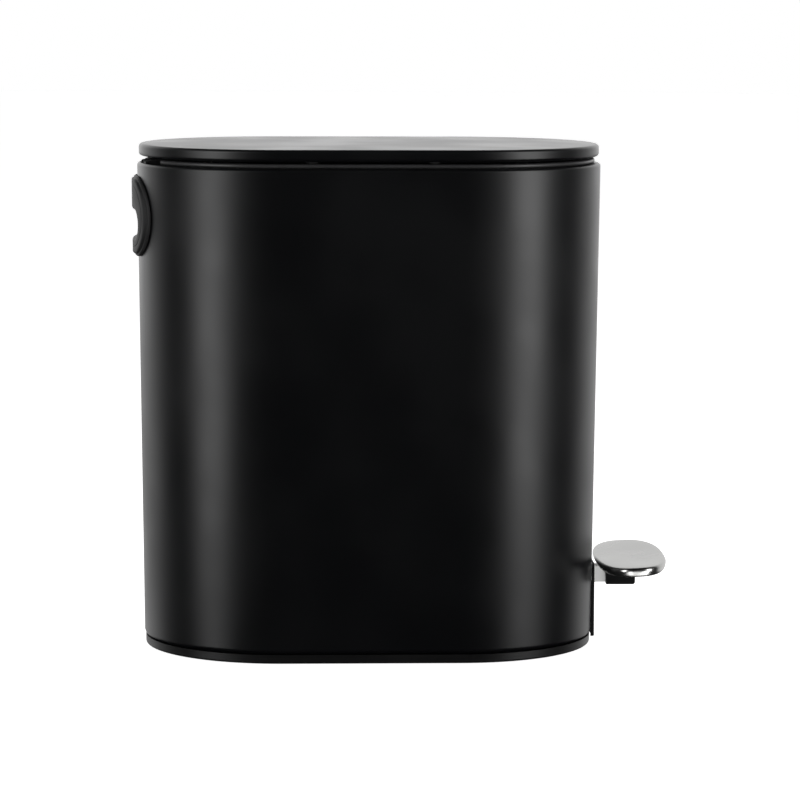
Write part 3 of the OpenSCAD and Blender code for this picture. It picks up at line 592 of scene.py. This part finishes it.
def makeHandle():
    width, height, middle = handle["width"], handle["height"], handle["middle"]
    rim, face, border = handle["rim"], handle["face"], handle["border"]
    rings = []
    pocket = (handle["pocketWidth"], handle["pocketHeight"], handle["pocketMiddle"])
    back = bodyHigh.y - handle["pocketDepth"]

    def pocketRing(inset, y):
        return [Vector((x, y, z)) for x, z in barLoop(*pocket, inset)]

    def surfaceRing(points, out):
        return [onBody(x, z, out) for x, z in points]

    # pocket floor and walls, from the middle out
    for inset, lift in ((7.0, 0), (3.2, 0), (1.9, 0.15), (1.1, 0.6), (0.75, 1.3), (0.6, 2.2)):
        rings.append(pocketRing(inset * mm, back + lift * mm))
    wall = barLoop(*pocket, 0.45 * mm)
    for share in (0.35, 0.7, 0.92):
        rings.append([Vector((x, back + share * (onBody(x, z, face).y - 2 * mm - back), z)) for x, z in wall])
    for grow, drop in ((0.35, 1.7), (0.1, 1.1), (-0.3, 0.55), (-0.9, 0.18), (-1.8, 0.0)):
        rings.append(surfaceRing(barLoop(*pocket, grow * mm), face - drop * mm))
    # raised face, from the pocket to the inner edge of the border
    inner = barLoop(*pocket, -1.8 * mm)
    outer = barLoop(width, height, middle, handle["groove"] + 0.6 * mm)
    for share in (0.25, 0.5, 0.75):
        blendLoop = [(a[0] + (b[0] - a[0]) * share, a[1] + (b[1] - a[1]) * share) for a, b in zip(inner,
                                                                                                  outer)]
        rings.append(surfaceRing(blendLoop, face))
    for inset, drop in ((0.6, 0), (0.25, 0.04), (0.1, 0.28), (-0.1, 0.28), (-0.25, 0.04), (-0.6, 0)):
        rings.append(surfaceRing(barLoop(width, height, middle, handle["groove"] + inset * mm),
                                 face - drop * mm))
    # border step down to the rim, then the rim's edge and its undercut
    for inset, out in ((0.9, face), (0.45, face - 0.12 * mm), (0.15, face - 0.45 * mm), (0.0,
                                                                                         rim + 0.25 * mm),
                       (-0.15, rim + 0.06 * mm), (-0.5, rim)):
        rings.append(surfaceRing(barLoop(width, height, middle, border + inset * mm), out))
    for inset, out in ((0.7, rim - 0.02 * mm), (0.4, rim - 0.15 * mm), (0.15, rim - 0.5 * mm), (0.0,
                                                                                                1.0 * mm),
                       (0.0, 0.6 * mm), (0.6, 0.4 * mm), (0.8, 0.12 * mm)):
        rings.append(surfaceRing(barLoop(width, height, middle, inset * mm), out))
    # back of the flange and outside of the pocket's cup
    cup = barLoop(*pocket, -handle["wall"])
    rings.append(surfaceRing(barLoop(width, height, middle, 3 * mm), 0.12 * mm))
    rings.append(surfaceRing(barLoop(*pocket, -handle["wall"] - 0.4 * mm), 0.12 * mm))
    rings.append([Vector((x, back + 4 * mm, z)) for x, z in cup])
    rings.append([Vector((x, back - 0.9 * mm, z)) for x, z in cup])
    rings.append([Vector((x, back - 1.5 * mm, z)) for x, z in barLoop(*pocket, -handle["wall"] + 0.8 * mm)])
    rings.append([Vector((x, back - 1.5 * mm, z)) for x, z in barLoop(*pocket, 7 * mm)])
    return newPiece("rearHandle", meshFromRings("rearHandle", rings), "bin", ["rear_handle"],
                    50)


rearHandle = makeHandle()
dress(rearHandle, "handlePlastic")
print("handle", len(rearHandle.data.polygons))

# slot cover

cover = {"width": 24 * mm, "corner": 4 * mm, "edge": 0.7 * mm, "depth": 7 * mm}
coverLow, coverHigh = spanOf("slot_cover")


def makeSlotCover():
    half = cover["width"] / 2
    radius, low, high = cover["corner"], coverLow.z, coverHigh.z
    front = coverLow.y

    def outline(inset):
        r = radius - inset
        points = arcPoints((half - radius, high - radius), r, 0, 90, 8)
        points += arcPoints((-half + radius, high - radius), r, 90, 180, 8)
        points += arcPoints((-half + 1 * mm, low + 1 * mm), 1 * mm - inset, 180, 270, 4)
        points += arcPoints((half - 1 * mm, low + 1 * mm), 1 * mm - inset, 270, 360, 4)
        return points

    rings = []
    for inset, back in ((cover["edge"], 0), (0.42 * mm, 0.06 * mm), (0.2 * mm, 0.2 * mm), (0.06 * mm,
                                                                                           0.42 * mm),
                        (0, cover["edge"]), (0, cover["depth"])):
        rings.append([Vector((x, front + back, z)) for x, z in outline(inset)])
    piece = newPiece("slotCover", meshFromRings("slotCover", rings), "bin", ["slot_cover"],
                     40)
    slotHalf = body["slotWidth"] / 2
    slotForm = prism("slotForm", roundedOutline((-slotHalf, bodyLow.z + 0.6 * mm), (slotHalf,
                                                                                    body["slotTop"]),
                                                1.2 * mm), "y", front - 4 * mm, front + 20 * mm)
    bodyForm = ovalSolid("bodyForm", [(bodyRadius(0) + 0.2 * mm, 0), (bodyRadius(60 * mm) + 0.2 * mm,
                                                                      60 * mm)])
    shapeWith(piece, [("DIFFERENCE", bodyForm), ("DIFFERENCE", slotForm)], 40)
    return piece


slotCover = makeSlotCover()
dress(slotCover, "blackPlastic")

# pedal pad

pad = {"length": 41 * mm, "width": 112 * mm, "tilt": 3.0, "sheet": 1.2 * mm, "power": 2.6,
       "middleHeight": 52 * mm, "crown": 0.35 * mm, "centreInset": 0.999}   # share of the half length
padLow, padHigh = spanOf("pedal_pad")


def padLoop(inset, z, count=160):
    a, b, power = pad["width"] / 2 - inset, pad["length"] / 2 - inset, 2 / pad["power"]
    tilt = Matrix.Rotation(math.radians(-pad["tilt"]), 3, "X")
    middle = Vector((0, (padLow.y + padHigh.y) / 2, pad["middleHeight"]))
    points = []
    for i in range(count):
        angle = 2 * math.pi * i / count
        c, s = math.cos(angle), math.sin(angle)
        flat = Vector((a * math.copysign(abs(c) ** power, c), b * math.copysign(abs(s) ** power, s), z))
        points.append(middle + tilt @ flat)
    return points


def makePad():
    sheet, crown = pad["sheet"], pad["crown"]
    half = pad["length"] / 2
    rings = [padLoop(half * pad["centreInset"], 0)]
    for share in (0.85, 0.65, 0.45, 0.28, 0.16):
        rings.append(padLoop(half * share, -crown * (1 - share) ** 4))
    for inset, down in ((1.9, 0.32), (1.3, 0.46), (0.75, 0.72), (0.38, 1.08), (0.2, 1.5), (0.13, 2.0),
                        (0.22, 2.9),
                        (0.5, 3.9), (0.9, 4.7), (1.2, 5.2), (1.45, 5.42), (1.65, 5.48)):
        rings.append(padLoop(inset * mm, -down * mm))
    for inset, down in ((2.2, 5.48), (2.4, 5.3), (2.1, 4.6), (1.75, 3.6), (1.5, 2.6), (1.6, 2.1), (2.2,
                                                                                                   1.85)):
        rings.append(padLoop(inset * mm, -down * mm))
    rings.append(padLoop(6 * mm, -sheet - 0.3 * mm))
    rings.append(padLoop(half * pad["centreInset"], -sheet))
    return newPiece("pedalPad", meshFromRings("pedalPad", rings), "pedal", ["pedal_pad"], 60)


pedalPad = makePad()
dress(pedalPad, "padSteel")
print("pad", len(pedalPad.data.polygons))

# floor, light and camera

studio = {"floorColour": (0.86, 0.86, 0.86), "skyBright": 0.92, "skyDark": 0.002, "floorGlow": 0.9,
          "floorRadius": 9}


def makeFloor():
    bm = bmesh.new()
    bmesh.ops.create_circle(bm, cap_ends=True, segments=96, radius=studio["floorRadius"])
    mesh = bpy.data.meshes.new("studioFloor")
    bm.to_mesh(mesh)
    bm.free()
    floor = bpy.data.objects.new("studioFloor", mesh)
    bpy.context.scene.collection.objects.link(floor)
    material = bpy.data.materials.new("studioFloor")
    material.use_nodes = True
    tree = material.node_tree
    shader = tree.nodes["Principled BSDF"]
    mottle = rampNode(tree, noiseNode(tree, objectPlace(tree), 3.0, detail=4.0), 0.3, 0.7, 0.0, 1.0)
    tint = studio["floorColour"]
    tree.links.new(mixColour(tree, mottle, tint, tuple(c * 0.99 for c in tint)), shader.inputs["Base Color"])
    shader.inputs["Roughness"].default_value = 0.9
    shader.inputs["Specular IOR Level"].default_value = 0.1
    shader.inputs["Emission Color"].default_value = (1, 1, 1, 1)
    shader.inputs["Emission Strength"].default_value = studio["floorGlow"]
    floor.data.materials.append(material)
    floor.visible_glossy = False


def makeSky():
    world = bpy.data.worlds.new("studioSky")
    bpy.context.scene.world = world
    world.use_nodes = True
    tree = world.node_tree
    background = tree.nodes["Background"]
    direction = addNode(tree, "ShaderNodeSeparateXYZ")
    tree.links.new(addNode(tree, "ShaderNodeTexCoord").outputs["Generated"], direction.inputs[0])
    behind = rampNode(tree, direction.outputs["X"], 0.15, 0.75)
    above = rampNode(tree, direction.outputs["Z"], -0.5, -0.25)
    high = rampNode(tree, direction.outputs["Z"], 0.75, 0.35)
    lit = mathNode(tree, "MULTIPLY", mathNode(tree, "MULTIPLY", behind, above), high)
    sky = rampNode(tree, lit, 0.0, 1.0, studio["skyDark"], studio["skyBright"])
    seen = addNode(tree, "ShaderNodeLightPath").outputs["Is Camera Ray"]
    strength = mathNode(tree, "MAXIMUM", sky, seen)
    background.inputs["Color"].default_value = (1, 1, 1, 1)
    tree.links.new(strength, background.inputs["Strength"])


def makeLight(name, place, target, width, height, power):
    light = bpy.data.lights.new(name, "AREA")
    light.shape, light.size, light.size_y, light.energy = "RECTANGLE", width, height, power
    light.spread = math.pi
    lamp = bpy.data.objects.new(name, light)
    lamp.location = place
    lamp.rotation_euler = (Vector(target) - Vector(place)).to_track_quat("-Z", "Y").to_euler()
    bpy.context.scene.collection.objects.link(lamp)
    return lamp


def makeCamera():
    view = {"place": (-2.26601, 0.0733, 0.40698), "turn": 0.040525, "pitch": 0.115603, "roll": 0.0034354,
            "lens": 174.283}
    data = bpy.data.cameras.new("studioCamera")
    data.lens, data.sensor_width = view["lens"], 36
    data.clip_start, data.clip_end = 0.05, 60
    camera = bpy.data.objects.new("studioCamera", data)
    bpy.context.scene.collection.objects.link(camera)
    turn, pitch, roll = view["turn"], view["pitch"], view["roll"]
    forward = Vector((math.cos(pitch) * math.cos(turn), -math.cos(pitch) * math.sin(turn), -math.sin(pitch)))
    right = forward.cross(Vector((0, 0, 1))).normalized()
    down = forward.cross(right).normalized()
    imageRight = right * math.cos(roll) - down * math.sin(roll)
    imageDown = down * math.cos(roll) + right * math.sin(roll)
    rotation = Matrix((imageRight, -imageDown, -forward)).transposed()
    camera.matrix_world = Matrix.Translation(view["place"]) @ rotation.to_4x4()
    bpy.context.scene.camera = camera


makeFloor()
makeSky()
makeCamera()
topLight = makeLight("topLight", (0.2, 0, 2.2), (0, 0, 0.1), 2.4, 2.4, 22)
topLight.visible_glossy = False
makeLight("rearStrip", (-0.93, 1.5, 0.5), (0, 0, 0.2), 0.7, 1.8, 18)
makeLight("frontStrip", (-0.97, -1.45, 0.5), (0, 0, 0.2), 0.75, 1.8, 21)


# a card lights only the pieces it is given, and only they cast shadows from it
def makeCard(name, place, target, width, height, power, pieces):
    card = makeLight(name, place, target, width, height, power)
    card.visible_camera = False
    lit = bpy.data.collections.new(name)
    for piece in pieces:
        lit.objects.link(piece)
    card.light_linking.receiver_collection = lit
    card.light_linking.blocker_collection = lit


padPlace = (-0.03, -0.155, 0.045)
painted = [lidShell, bodyShell, innerBucket, rearHandle, nodes["base_tray"]]
makeCard("leverCard", (-1.5, -0.5, 0.9), padPlace, 0.9, 0.5, 14, [nodes["pedal_lever"]])
makeCard("padCard", (-0.75, -0.70, -0.50), padPlace, 0.6, 0.9, 4, [pedalPad])
makeCard("padEdgeCard", (-0.85, 0.18, -0.50), padPlace, 0.3, 0.9, 1.6, [pedalPad])
makeCard("padFloorCard", (-0.95, -0.25, -0.75), padPlace, 2.2, 1.2, 11, [pedalPad])
makeCard("lidCard", (2.5, 0, 1.0), (0, 0, 0.9), 5, 2, 30, painted)
bpy.context.scene.view_settings.view_transform = "Standard"
print("studio ready")
